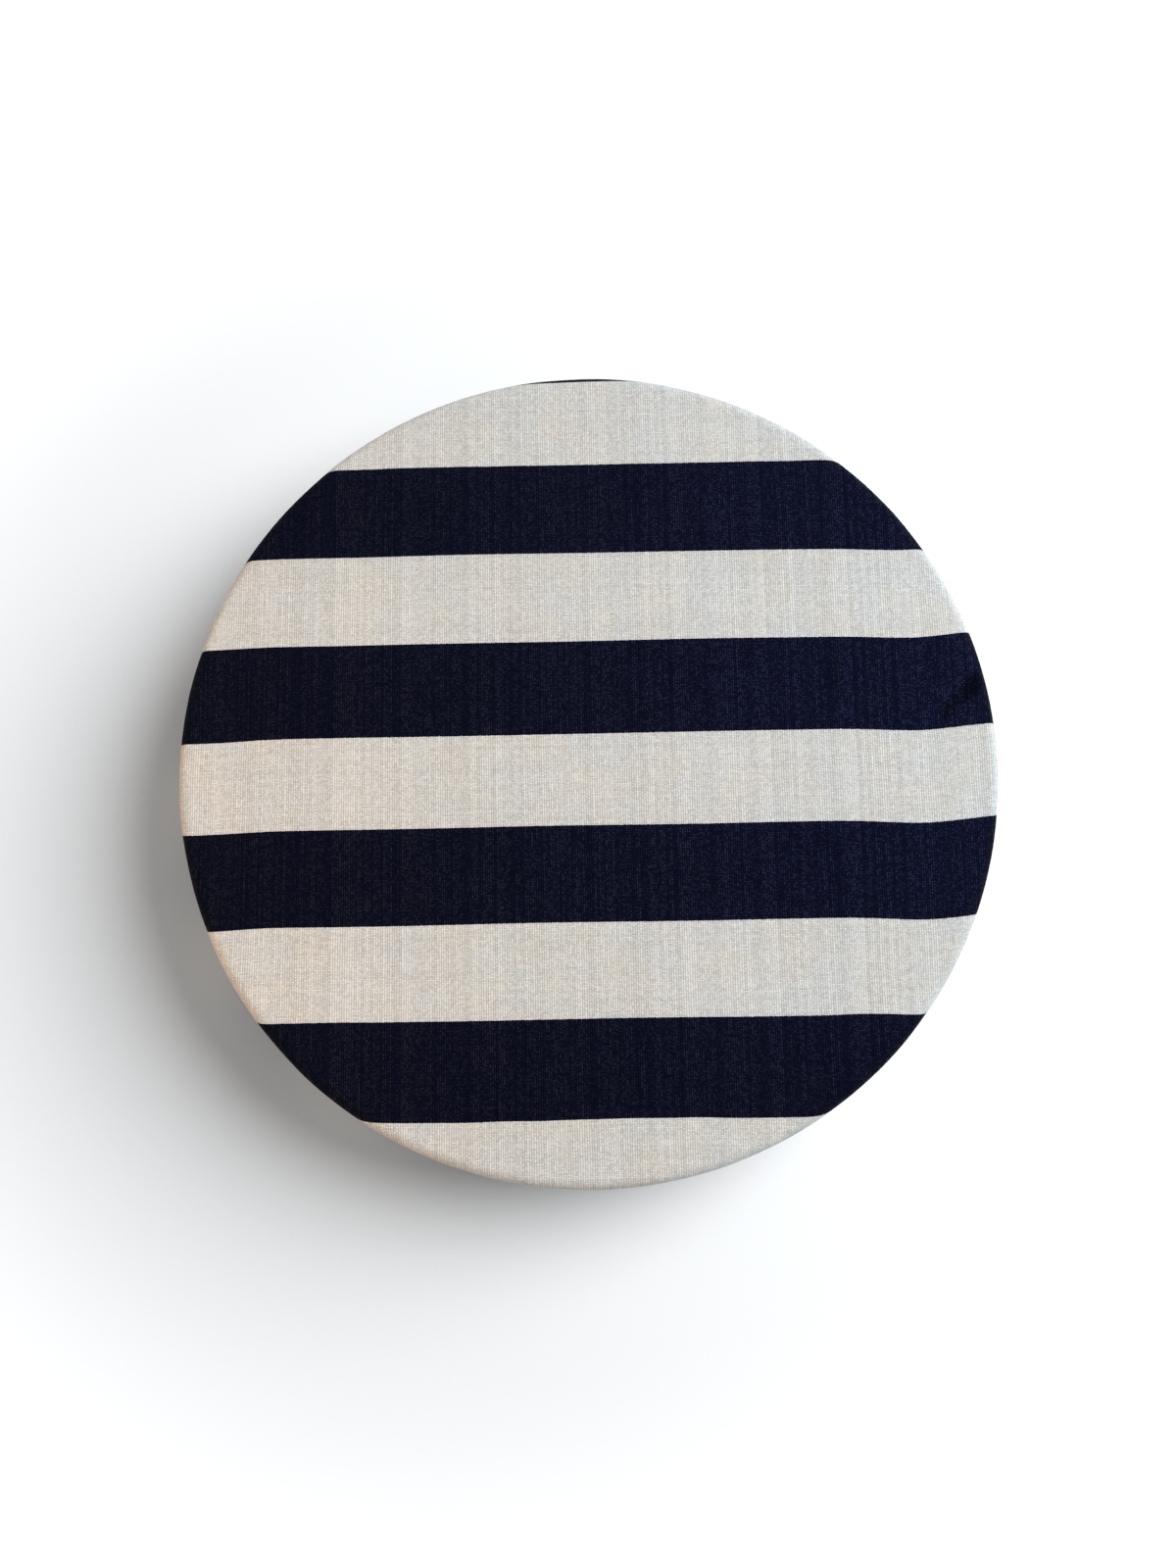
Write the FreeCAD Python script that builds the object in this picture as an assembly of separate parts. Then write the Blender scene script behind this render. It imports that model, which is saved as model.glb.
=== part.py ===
import FreeCAD, Part
import math
import os

# Round upholstered seat: striped canvas pulled over wadding and firm foam on a plywood base,
# turned under and stapled, with a dust cover stapled over the raw edge and four T-nuts for
# bolting it down. Millimetres, +Z up, origin at the middle of the underside, and the
# stripes of the canvas run along X.

# Driving dimensions.
seat_diameter = 350.0
seat_height = 58.0
crown_height = 1.0
top_edge_radius = 5.0
bottom_edge_radius = 4.0

canvas_thickness = 0.8
side_wadding = 2.2
dust_cover_thickness = 0.5
hem_thickness = 2.0
hem_width = 30.0

board_thickness = 12.0
board_edge_radius = 2.0
foam_thickness = 40.0
foam_edge_radius = 3.0

dust_cover_radius = 163.0
dust_cover_hole_radius = 6.5

bolt_spacing = 115.0
nut_bore_radius = 2.5
nut_barrel_radius = 3.9
nut_length = 9.0
nut_flange_radius = 9.5
nut_flange_thickness = 1.2
nut_prong_length = 6.0
nut_prong_width = 4.0
nut_prong_tip_width = 1.0
nut_notch_width = 1.4
nut_notch_depth = 2.4
board_hole_radius = 4.0

staple_crown = 10.0
staple_leg = 8.0
staple_wire_width = 0.9
staple_wire_height = 0.6
staple_bend_radius = 0.9
staple_point_height = 0.8
cover_staple_count = 36
cover_staple_radius = 151.5
dust_staple_count = 24
dust_staple_radius = 158.5
cover_staple_start = 5.0
dust_staple_start = 7.5
staple_wander_angle = 1.1
staple_wander_step = 2.4
staple_tilt_angle = 6.0
staple_tilt_step = 1.7

# Levels and radii that follow from them.
seat_radius = seat_diameter / 2
hem_inner_radius = seat_radius - hem_width
hem_bottom = dust_cover_thickness
board_bottom = hem_bottom + hem_thickness
board_top = board_bottom + board_thickness
foam_top = board_top + foam_thickness
wadding_radius = seat_radius - canvas_thickness
core_radius = wadding_radius - side_wadding
wadding_lower_edge = board_bottom + bottom_edge_radius

os.makedirs("parts", exist_ok=True)


def line(start, end):
    return Part.LineSegment(point(*start), point(*end)).toShape()


def point(radius, height):
    """A point of a profile in the XZ plane."""
    return FreeCAD.Vector(radius, 0, height)


def quarter_arc(centre, radius, start_angle):
    """A quarter turn in the XZ plane, anticlockwise from start_angle in degrees."""
    spots = []
    for angle in (start_angle, start_angle + 45, start_angle + 90):
        turn = math.radians(angle)
        spots.append(point(centre[0] + radius * math.cos(turn), centre[1] + radius * math.sin(turn)))
    return Part.Arc(*spots).toShape()


def crown_arc(rim_radius, rim_height, rise):
    """The shallow dome line from the rim to the middle of the top."""
    dome_radius = (rim_radius**2 + rise**2) / (2 * rise)
    middle = rim_radius / 2
    middle_height = rim_height + rise - dome_radius + math.sqrt(dome_radius**2 - middle**2)
    rim = point(rim_radius, rim_height)
    return Part.Arc(rim, point(middle, middle_height), point(0, rim_height + rise)).toShape()


def spin(edges):
    """The solid that a closed profile in the XZ plane sweeps round the Z axis."""
    face = Part.Face(Part.Wire(edges))
    return face.revolve(FreeCAD.Vector(0, 0, 0), FreeCAD.Vector(0, 0, 1), 360)


def domed_block(radius, bottom, rim_top, rise, top_round, bottom_round):
    """A round block with a shallow dome on top and rounded upper and lower edges."""
    flat_rim = radius - top_round
    foot = radius - bottom_round
    return spin(
        [
            line((0, bottom), (foot, bottom)),
            quarter_arc((foot, bottom + bottom_round), bottom_round, -90),
            line((radius, bottom + bottom_round), (radius, rim_top - top_round)),
            quarter_arc((flat_rim, rim_top - top_round), top_round, 0),
            crown_arc(flat_rim, rim_top, rise),
            line((0, rim_top + rise), (0, bottom)),
        ]
    )


def rounded_block(radius, bottom, top, top_round):
    """A flat-topped round block with a rounded upper edge."""
    flat_rim = radius - top_round
    return spin(
        [
            line((0, bottom), (radius, bottom)),
            line((radius, bottom), (radius, top - top_round)),
            quarter_arc((flat_rim, top - top_round), top_round, 0),
            line((flat_rim, top), (0, top)),
            line((0, top), (0, bottom)),
        ]
    )


def disc(radius, height, bottom, x=0.0, y=0.0):
    return Part.makeCylinder(radius, height, FreeCAD.Vector(x, y, bottom))


def turn_about_axis(shape, angle):
    shape.rotate(FreeCAD.Vector(0, 0, 0), FreeCAD.Vector(0, 0, 1), angle)


def around(count, radius, first_angle, shape):
    """Copies of a shape set round a circle, each a little off its even place, as by hand."""
    copies = []
    for index in range(count):
        wander = staple_wander_angle * math.sin(staple_wander_step * index)
        tilt = staple_tilt_angle * math.sin(staple_tilt_step * index + radius)
        copy = shape.copy()
        turn_about_axis(copy, 90 + tilt)
        copy.translate(FreeCAD.Vector(radius, 0, 0))
        turn_about_axis(copy, first_angle + 360 * index / count + wander)
        copies.append(copy)
    return copies


def staple(crown_bottom):
    """One wire staple, crown down and legs up, with its crown along X."""
    half = staple_crown / 2
    outer = staple_bend_radius
    inner = staple_bend_radius - staple_wire_height
    top = crown_bottom + staple_leg
    corner = crown_bottom + outer
    shoulder = half - outer
    inside = half - staple_wire_height
    floor = crown_bottom + staple_wire_height
    edges = [
        line((-shoulder, crown_bottom), (shoulder, crown_bottom)),
        quarter_arc((shoulder, corner), outer, -90),
        line((half, corner), (half, top - staple_point_height)),
        line((half, top - staple_point_height), (inside, top)),
        line((inside, top), (inside, corner)),
        inner_bend(shoulder, corner, inner, 1),
        line((shoulder, floor), (-shoulder, floor)),
        inner_bend(shoulder, corner, inner, -1),
        line((-inside, corner), (-inside, top)),
        line((-inside, top), (-half, top - staple_point_height)),
        line((-half, top - staple_point_height), (-half, corner)),
        quarter_arc((-shoulder, corner), outer, 180),
    ]
    face = Part.Face(Part.Wire(edges))
    face.translate(FreeCAD.Vector(0, -staple_wire_width / 2, 0))
    return face.extrude(FreeCAD.Vector(0, staple_wire_width, 0))


def inner_bend(shoulder, corner, radius, side):
    """The inside of a staple's bend; side is 1 on the right and -1 on the left."""
    start_angle = -90 if side > 0 else 180
    return quarter_arc((side * shoulder, corner), radius, start_angle)


def nut_places():
    half = bolt_spacing / 2
    return {
        "t_nut_front_left": (-half, -half),
        "t_nut_front_right": (half, -half),
        "t_nut_back_left": (-half, half),
        "t_nut_back_right": (half, half),
    }


def nut_prong():
    """One pointed prong at the flange's rim, hanging down from it."""
    root = board_top
    tip = board_top - nut_prong_length
    half = nut_prong_width / 2
    half_tip = nut_prong_tip_width / 2
    outline = [
        FreeCAD.Vector(0, -half, root),
        FreeCAD.Vector(0, half, root),
        FreeCAD.Vector(0, half_tip, tip),
        FreeCAD.Vector(0, -half_tip, tip),
        FreeCAD.Vector(0, -half, root),
    ]
    blade = Part.Face(Part.makePolygon(outline)).extrude(FreeCAD.Vector(nut_flange_thickness, 0, 0))
    blade.translate(FreeCAD.Vector(prong_inner_radius(), 0, 0))
    return blade


def prong_inner_radius():
    """Where a flat prong's inner face stands, with its outer corners on the flange's rim."""
    reach = math.sqrt(nut_flange_radius**2 - (nut_prong_width / 2) ** 2)
    return reach - nut_flange_thickness


def nut_notch(side):
    """The slot in the flange beside a prong, left where the prong was bent down."""
    start = prong_inner_radius()
    across = nut_prong_width / 2 if side > 0 else -nut_prong_width / 2 - nut_notch_width
    corner = FreeCAD.Vector(start - nut_notch_depth + nut_flange_thickness, across, board_top)
    return Part.makeBox(2 * nut_notch_depth, nut_notch_width, nut_flange_thickness, corner)


def t_nut(x, y):
    barrel_bottom = board_top + nut_flange_thickness - nut_length
    solid = disc(nut_flange_radius, nut_flange_thickness, board_top)
    solid = solid.fuse(disc(nut_barrel_radius, nut_length, barrel_bottom))
    for angle in (45, 135, 225, 315):
        for side in (1, -1):
            notch = nut_notch(side)
            turn_about_axis(notch, angle)
            solid = solid.cut(notch)
        prong = nut_prong()
        turn_about_axis(prong, angle)
        solid = solid.fuse(prong)
    solid = solid.cut(disc(nut_bore_radius, nut_length, barrel_bottom)).removeSplitter()
    solid.translate(FreeCAD.Vector(x, y, 0))
    return solid


def cover_staples():
    one = staple(hem_bottom)
    return around(cover_staple_count, cover_staple_radius, cover_staple_start, one)


def dust_cover_staples():
    return around(dust_staple_count, dust_staple_radius, dust_staple_start, staple(0.0))


def base_board(nuts, staples):
    """Round birch plywood base, drilled for the nuts."""
    straight = board_thickness - board_edge_radius
    foot = core_radius - board_edge_radius
    board = spin(
        [
            line((0, board_bottom), (foot, board_bottom)),
            quarter_arc((foot, board_bottom + board_edge_radius), board_edge_radius, -90),
            line((core_radius, board_top - straight), (core_radius, board_top)),
            line((core_radius, board_top), (0, board_top)),
            line((0, board_top), (0, board_bottom)),
        ]
    )
    for x, y in nut_places().values():
        board = board.cut(disc(board_hole_radius, board_thickness, board_bottom, x, y))
    return board.cut(nuts + staples)


def foam_pad():
    """Firm foam disc, its upper edge rounded by the pull of the cover, pressed in over the nuts."""
    foam = rounded_block(core_radius, board_top, foam_top, foam_edge_radius)
    for x, y in nut_places().values():
        foam = foam.cut(disc(nut_flange_radius, nut_flange_thickness, board_top, x, y))
    return foam


def space_in_canvas():
    """Everything that the canvas encloses, from the board's underside up."""
    return domed_block(
        wadding_radius,
        board_bottom,
        seat_height - crown_height - canvas_thickness,
        crown_height,
        top_edge_radius - canvas_thickness,
        bottom_edge_radius - canvas_thickness,
    )


def wadding():
    """Polyester wadding over the foam and down the sides, trimmed near the board's lower edge."""
    core = rounded_block(core_radius, 0.0, foam_top, foam_edge_radius)
    return space_in_canvas().cut(core).cut(disc(seat_radius, wadding_lower_edge, 0.0))


def canvas_cover(staples):
    """One round cut of canvas over the top, down the side and turned under as a hem."""
    outer = domed_block(
        seat_radius,
        hem_bottom,
        seat_height - crown_height,
        crown_height,
        top_edge_radius,
        bottom_edge_radius,
    )
    opening = disc(hem_inner_radius, hem_thickness, hem_bottom)
    return outer.cut(space_in_canvas()).cut(opening).cut(staples)


def dust_cover(staples):
    """Non-woven disc over the raw edge of the canvas, with holes at the nuts."""
    sheet = disc(dust_cover_radius, dust_cover_thickness, 0.0)
    for x, y in nut_places().values():
        sheet = sheet.cut(disc(dust_cover_hole_radius, dust_cover_thickness, 0.0, x, y))
    return sheet.cut(staples)


def save(name, shape):
    shape.exportStep("parts/" + name + ".step")


def main():
    nuts = {name: t_nut(*place) for name, place in nut_places().items()}
    hem_staples = cover_staples()
    lower_staples = dust_cover_staples()
    all_nuts = list(nuts.values())
    all_staples = hem_staples + lower_staples
    save("canvas_cover", canvas_cover(all_staples))
    save("wadding", wadding())
    save("foam_pad", foam_pad())
    save("base_board", base_board(all_nuts, all_staples))
    save("dust_cover", dust_cover(lower_staples))
    save("cover_staples", Part.makeCompound(hem_staples))
    save("dust_cover_staples", Part.makeCompound(lower_staples))
    for name, nut in nuts.items():
        save(name, nut)


main()
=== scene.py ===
import math

import bmesh
import bpy
import numpy as np
from mathutils import Matrix, Vector, geometry


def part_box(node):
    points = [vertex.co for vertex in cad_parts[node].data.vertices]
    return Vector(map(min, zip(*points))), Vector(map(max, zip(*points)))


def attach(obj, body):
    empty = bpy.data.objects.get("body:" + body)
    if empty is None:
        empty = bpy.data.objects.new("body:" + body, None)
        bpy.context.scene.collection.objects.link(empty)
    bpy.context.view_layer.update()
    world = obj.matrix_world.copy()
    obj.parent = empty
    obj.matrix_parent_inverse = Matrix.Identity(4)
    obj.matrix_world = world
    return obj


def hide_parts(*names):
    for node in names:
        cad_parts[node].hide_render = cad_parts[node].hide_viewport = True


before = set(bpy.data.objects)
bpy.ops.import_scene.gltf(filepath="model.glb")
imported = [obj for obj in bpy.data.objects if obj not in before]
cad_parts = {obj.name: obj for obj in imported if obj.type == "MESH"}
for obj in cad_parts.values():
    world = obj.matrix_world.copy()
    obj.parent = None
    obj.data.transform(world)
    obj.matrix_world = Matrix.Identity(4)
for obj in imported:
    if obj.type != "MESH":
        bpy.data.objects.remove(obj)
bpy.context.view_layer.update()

bl_info = {
    "name": "Round striped seat cushion",
    "version": (1, 0, 0),
    "blender": (4, 5, 0),
    "location": "View3D > Sidebar > Seat",
    "description": "Canvas cover, padding, base and underside of a round upholstered seat",
    "category": "Object",
}

MM = 0.001
FULL_TURN = 2 * math.pi

# Sizes that come from the frame, in metres.
cover_low, cover_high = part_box("canvas_cover")
board_low, board_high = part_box("base_board")
foam_low, foam_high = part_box("foam_pad")
wadding_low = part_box("wadding")[0]
dust_low, dust_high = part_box("dust_cover")
SEAT_RADIUS = (cover_high.x - cover_low.x) / 2
SEAT_TOP = cover_high.z
CORE_RADIUS = (board_high.x - board_low.x) / 2
DUST_RADIUS = (dust_high.x - dust_low.x) / 2
NUT_NODES = [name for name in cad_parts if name.startswith("t_nut")]
NUT_CENTRES = [sum(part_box(name), Vector()) / 2 for name in NUT_NODES]
nut_low, nut_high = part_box(NUT_NODES[0])
NUT_REACH = (nut_high.x - nut_low.x) / 2

# The cover's mesh, and the coarse copy of it that is simulated.
COLUMNS_PER_PLEAT = 16
SETTLE_COLUMNS = 192
SETTLE_FRAMES = 20

# Where the cover's rings come closer together, and where the cloth starts to feel the edge's
# pull, both along the cloth from the middle of the top. Then how many rings there are on the
# middle and the rest of the top, the upper bend, the side, the lower bend and the hem.
FLAT_TOP = 138 * MM
EDGE_PULL_START = 110 * MM
RINGS = (14, 18, 8, 24, 7, 12)

# The dust cover's mesh: points round its rim and round each hole, the spacing of its inner points
# against the rim's, and where the rings of its folded edge lie, as parts of the fold's width. The
# cloth has turned over by the second of them.
DUST_COLUMNS = 288
HOLE_COLUMNS = 28
INNER_SPACING = 1.32
FOLD_STEPS = (0.02, 0.06, 0.2, 0.35, 0.5, 0.65, 0.8, 0.9, 1.0)

# The gap that the settling canvas may use before it meets the wadding.
WADDING_PLAY = 1.1 * MM

# The press mark on the top, near its right edge: where it is, its turn in degrees, how deep it
# and its trail are, and where the trail lies from it, along and across.
MARK_PLACE = (163.8 * MM, 28.3 * MM)
MARK_TURN = 50.0
MARK_DEPTH = 0.75 * MM
TRAIL_DEPTH = 0.22 * MM
TRAIL_PLACE = (-11 * MM, 2.4 * MM)

# How far the cover departs from a plain turned shape: the step over the board's edge, the waves
# of its side and of its upper edge, and the unevenness of its top.
BOARD_STEP = 0.55 * MM
SIDE_WAVE = 0.25 * MM
EDGE_WAVE = 0.22 * MM
TOP_WAVE = 0.10 * MM

# How much of a pleat's height the dust cover presses flat.
DUST_PRESS = 0.62

# How far the cloth was pulled out and aside at the edge, and how far its stripes wander anywhere.
PULL_OUT = 0.5 * MM
PULL_ASIDE = 0.55 * MM
STRIPE_DRIFT = 0.18 * MM
THREAD_DRIFT = 0.20 * MM

# The dust cover: its rise at the middle, its gap to the staples, how far it is lifted round a
# staple, and the creases that run inwards from each.
DUST_RISE = 0.55 * MM
DUST_GAP = 0.06 * MM
STAPLE_GAP = 0.03 * MM
LIFT_REACH = 2.6 * MM
CREASE_LENGTH = 34 * MM
CREASE_DEPTH = 0.20 * MM


# ---------------------------------------------------------------- settings


def length(name, text, millimetres):
    """A length that a user may change, given here in millimetres and kept in metres."""
    return bpy.props.FloatProperty(
        name=name, description=text, default=millimetres * MM, unit="LENGTH", precision=5
    )


def share(name, text, value):
    return bpy.props.FloatProperty(
        name=name, description=text, default=value, min=0.0, max=1.0, subtype="FACTOR"
    )


def amount(name, text, value, unit="NONE"):
    return bpy.props.FloatProperty(name=name, description=text, default=value, min=0.0, unit=unit)


def count(name, text, value):
    return bpy.props.IntProperty(name=name, description=text, default=value, min=3)


def angle(name, text, degrees):
    return bpy.props.FloatProperty(
        name=name, description=text, default=math.radians(degrees), subtype="ANGLE"
    )


def power(name, text, watts):
    return amount(name, text, watts, unit="POWER")


def colour(name, text, *value):
    return bpy.props.FloatVectorProperty(
        name=name, description=text, default=value, size=3, min=0.0, max=1.0, subtype="COLOR"
    )


class CanvasSettings(bpy.types.PropertyGroup):
    stripe_width: length("Stripe width", "Width of one stripe of the cloth", 39.86)
    stripe_edge: length("Stripe edge", "Where one stripe starts, back from the middle", 132.95)
    dark_share: share("Dark share", "How much of two stripes is the dark one", 0.5075)
    crown: length("Crown", "Rise of the top from its rim to its middle", 1.0)
    top_edge: length("Top edge radius", "Roundness of the upper edge", 5.0)
    bottom_edge: length("Lower edge radius", "Roundness where the cloth turns under", 4.0)
    hem_height: length("Hem height", "Height of the turned-under cloth's face", 1.75)
    hem_width: length("Hem width", "How far the cloth is turned under", 30.0)
    thickness: length("Cloth thickness", "Thickness of the canvas", 0.7)
    pleats: count("Pleats", "Pleats that take up the spare cloth at the lower edge", 36)
    pleat_depth: length("Pleat depth", "How far a pleat stands out at the lower edge", 1.25)
    pleat_lean: length("Pleat lean", "How far a pleat is folded over under the seat", 3.2)
    across_pitch: length("Cross thread pitch", "Spacing of the threads across the stripes", 0.975)
    along_pitch: length("Stripe thread pitch", "Spacing of the threads along the stripes", 0.67)
    navy: colour("Navy", "Colour of the dark stripes", 0.0008, 0.0008, 0.0010)
    # The navy crests' colour is a painted highlight on the crowns of the threads.
    navy_crest_highlight: colour("Navy crest highlights", "Colour of the painted highlight on its thread crests", 0.016, 0.016, 0.016)
    white: colour("Off-white", "Colour of the light stripes", 0.503, 0.532, 0.526)
    white_aged: colour("Aged off-white", "Colour of the light stripes' patches", 0.516, 0.529, 0.498)
    border: colour("Border", "Colour that seeps along a stripe's border", 0.40, 0.40, 0.50)
    pressure: amount("Padding pressure", "Push of the padding on the settling cloth", 3.0)
    spare: share("Spare cloth", "How much longer the cut cloth is than its path", 0.012)
    travel: length("Settling travel", "The furthest that the settling cloth may move", 1.2)


class PaddingSettings(bpy.types.PropertyGroup):
    wadding: colour("Wadding", "Colour of the polyester wadding", 0.80, 0.80, 0.77)
    foam: colour("Foam", "Colour of the foam", 0.74, 0.66, 0.42)
    foam_edge: length("Foam edge radius", "Roundness of the foam's upper edge", 3.0)
    lumps: length("Wadding lumps", "Unevenness of the wadding's face", 0.25)


class UndersideSettings(bpy.types.PropertyGroup):
    dust_cover: colour("Dust cover", "Colour of the non-woven cloth", 0.012, 0.012, 0.0135)
    thickness: length("Dust cover thickness", "Thickness of the non-woven cloth", 0.3)
    fold: length("Folded edge", "Width of the dust cover's folded edge", 9.5)
    hole: length("Hole radius", "Radius of the holes over the nuts", 6.5)
    crown: length("Staple crown", "Width of a staple", 10.0)
    leg: length("Staple leg", "Length of a staple's legs", 8.0)
    wire_width: length("Wire width", "Width of the staple wire", 0.9)
    wire_height: length("Wire height", "Thickness of the staple wire", 0.6)
    bend: length("Wire bend", "Radius of a staple's bends", 0.6)
    steel: colour("Steel", "Colour of the zinc-plated steel", 0.52, 0.53, 0.55)
    wood: colour("Veneer", "Colour of the birch veneer", 0.56, 0.39, 0.22)
    plies: count("Plies", "Layers of veneer in the base board", 7)


class StageSettings(bpy.types.PropertyGroup):
    distance: length("Camera distance", "From the camera to what it looks at", 478.8)
    lens: amount("Lens", "Focal length in millimetres", 26.0, unit="CAMERA")
    elevation: angle("Camera elevation", "Angle above the horizon", 82.27)
    bearing: angle("Camera bearing", "Angle round from the front, to the right", 2.18)
    roll: angle("Picture turn", "Turn of the picture about its middle", 1.02)
    aim_forward: length("Aim", "How far in front of the middle the camera looks", 8.83)
    floor: colour("Floor", "Colour of the floor", 0.92, 0.92, 0.92)
    floor_glow: share("Floor glow", "Faint light of the floor away from the seat", 0.35)
    key_power: power("Key light", "Soft light from the right and behind", 52.0)
    gloss_power: power("Gloss light", "Blue light high on the right, seen only as gloss", 66.0)
    veil_power: power("Veil light", "Light above, seen only as gloss on the seat's middle", 19.0)
    fill_power: power("Fill light", "Warm light close on the left", 2.0)
    ambient: amount("Ambient", "Strength of the even light all round", 0.34)


# ---------------------------------------------------------------- numbers


def smooth_step(low, high, value):
    """0 below low, 1 above high, and a soft rise between."""
    t = np.clip((value - low) / (high - low), 0.0, 1.0)
    return t * t * (3.0 - 2.0 * t)


def ripple(seed, around, waves):
    """A smooth repeating line round the seat, within about 1.

    It is a sum of sine waves, each with one of the given counts of waves round the seat.
    """
    picks = np.random.default_rng(seed)
    total = np.zeros_like(around)
    for wave in waves:
        total = total + picks.uniform(0.6, 1.0) * np.sin(wave * around + picks.uniform(0, FULL_TURN))
    return total / len(waves)


def drift(seed, x, y, size, terms=7):
    """Smooth uneven values over a plane, within about 1, whose lumps are about size across."""
    picks = np.random.default_rng(seed)
    total = np.zeros_like(x)
    for _ in range(terms):
        turn = picks.uniform(0, FULL_TURN)
        pace = FULL_TURN / (size * picks.uniform(1.2, 3.0))
        phase = picks.uniform(0, FULL_TURN)
        total = total + np.sin(pace * (x * math.cos(turn) + y * math.sin(turn)) + phase)
    return total / math.sqrt(terms)


def bearings(columns):
    """Evenly spaced angles round the seat."""
    return np.arange(columns) / columns * FULL_TURN


# ---------------------------------------------------------------- meshes


def object_from(name, vertices, faces, cloth_uv=None):
    """A mesh object in the scene; cloth_uv gives each vertex its place on the flat cloth."""
    mesh = bpy.data.meshes.new(name)
    mesh.from_pydata([tuple(v) for v in vertices], [], faces)
    if cloth_uv is not None:
        layer = mesh.uv_layers.new(name="cloth")
        corners = np.zeros(len(mesh.loops), dtype=np.int32)
        mesh.loops.foreach_get("vertex_index", corners)
        layer.data.foreach_set("uv", np.asarray(cloth_uv)[corners].ravel())
    mesh.update()
    made = bpy.data.objects.new(name, mesh)
    bpy.context.scene.collection.objects.link(made)
    return made


def ring_faces(rings, columns, first=0):
    """Quads between rings of columns vertices each; they face up when the rings run outwards."""
    faces = []
    for ring in range(rings - 1):
        low = first + ring * columns
        high = low + columns
        for column in range(columns):
            after = (column + 1) % columns
            faces.append((low + column, high + column, high + after, low + after))
    return faces


def apply_modifiers(piece):
    """Turns the piece and its live modifiers into one plain mesh."""
    bpy.context.view_layer.update()
    graph = bpy.context.evaluated_depsgraph_get()
    result = bpy.data.meshes.new_from_object(piece.evaluated_get(graph))
    old = piece.data
    name = old.name
    piece.modifiers.clear()
    piece.data = result
    bpy.data.meshes.remove(old)
    result.name = name


def thicken(sheet, thickness, offset):
    """Gives a sheet its thickness: all on its inner side at offset -1, half on each side at 0."""
    wall = sheet.modifiers.new("Thickness", "SOLIDIFY")
    wall.thickness = thickness
    wall.offset = offset
    wall.use_even_offset = False
    apply_modifiers(sheet)


def outward(piece):
    """Merges doubled points and turns every face outwards."""
    shell = bmesh.new()
    shell.from_mesh(piece.data)
    bmesh.ops.remove_doubles(shell, verts=shell.verts, dist=0.01 * MM)
    bmesh.ops.recalc_face_normals(shell, faces=shell.faces)
    shell.to_mesh(piece.data)
    shell.free()
    piece.data.update()


def seat_collection():
    """The collection of the seat's own pieces, the only ones that the veil and fill lights reach."""
    held = bpy.data.collections.get("seat")
    if held is None:
        held = bpy.data.collections.new("seat")
        bpy.context.scene.collection.children.link(held)
    return held


def finish_node(node, material):
    """Gives a CAD node its material and leaves its shape alone."""
    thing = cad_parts[node]
    thing.data.materials.clear()
    thing.data.materials.append(material)


def finish_piece(piece, material, node):
    """Gives a new piece its material and joins it to the root in place of a CAD node."""
    piece.data.materials.clear()
    piece.data.materials.append(material)
    piece.data.polygons.foreach_set("use_smooth", [True] * len(piece.data.polygons))
    seat_collection().objects.link(piece)
    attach(piece, "root")
    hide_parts(node)


# ---------------------------------------------------------------- canvas shape


def turned(x, y, centre, angle):
    """Places measured from a centre, along a line that lies at an angle and across it."""
    dx, dy = x - centre[0], y - centre[1]
    along = dx * math.cos(angle) + dy * math.sin(angle)
    across = -dx * math.sin(angle) + dy * math.cos(angle)
    return along, across


def stretch_ends(settings):
    """How far along the cloth the top ends, the side starts, the side ends and the hem starts."""
    top_round, low_round = settings.top_edge, settings.bottom_edge
    side = SEAT_TOP - settings.crown - top_round - settings.hem_height - low_round
    top = SEAT_RADIUS - top_round
    return np.cumsum([top, top_round * math.pi / 2, side, low_round * math.pi / 2])


def meridian(settings, run):
    """Where the cloth lies, from the middle of the top out over the edge, down and under.

    run is the distance along the cloth. Gives the radius, the height and the outward
    direction, as arrays, on a plain seat with no pleats.
    """
    top_round, low_round = settings.top_edge, settings.bottom_edge
    rim_height = SEAT_TOP - settings.crown
    rim, side_start, side_end, hem_start = stretch_ends(settings)
    turn_out = np.clip((run - rim) / top_round, 0, math.pi / 2)
    turn_in = np.clip((run - side_end) / low_round, 0, math.pi / 2)
    on_top = run < rim
    radius = np.where(on_top, run, rim + top_round * np.sin(turn_out))
    radius = radius - low_round * (1 - np.cos(turn_in)) - np.clip(run - hem_start, 0, None)
    height = np.where(
        on_top,
        SEAT_TOP - settings.crown * (run / rim) ** 2,
        rim_height - top_round * (1 - np.cos(turn_out)),
    )
    drop = np.clip(run - side_start, 0, side_end - side_start)
    height = height - drop - low_round * np.sin(turn_in)
    out = np.where(turn_in > 0, np.cos(turn_in), np.sin(turn_out))
    up = np.where(turn_in > 0, -np.sin(turn_in), np.cos(turn_out))
    return radius, height, out, up


def cloth_reach(settings):
    """The flat radius of the cut cloth, to its raw edge."""
    return stretch_ends(settings)[3] + settings.hem_width - settings.bottom_edge


def ring_runs(settings):
    """Distances along the cloth at which the mesh has a ring: close where the cloth bends."""
    stops = [0.6 * MM, FLAT_TOP, *stretch_ends(settings), cloth_reach(settings)]
    spans = zip(stops, stops[1:], RINGS)
    runs = [np.linspace(start, end, rings, endpoint=False) for start, end, rings in spans]
    return np.concatenate(runs + [stops[-1:]])


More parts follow.
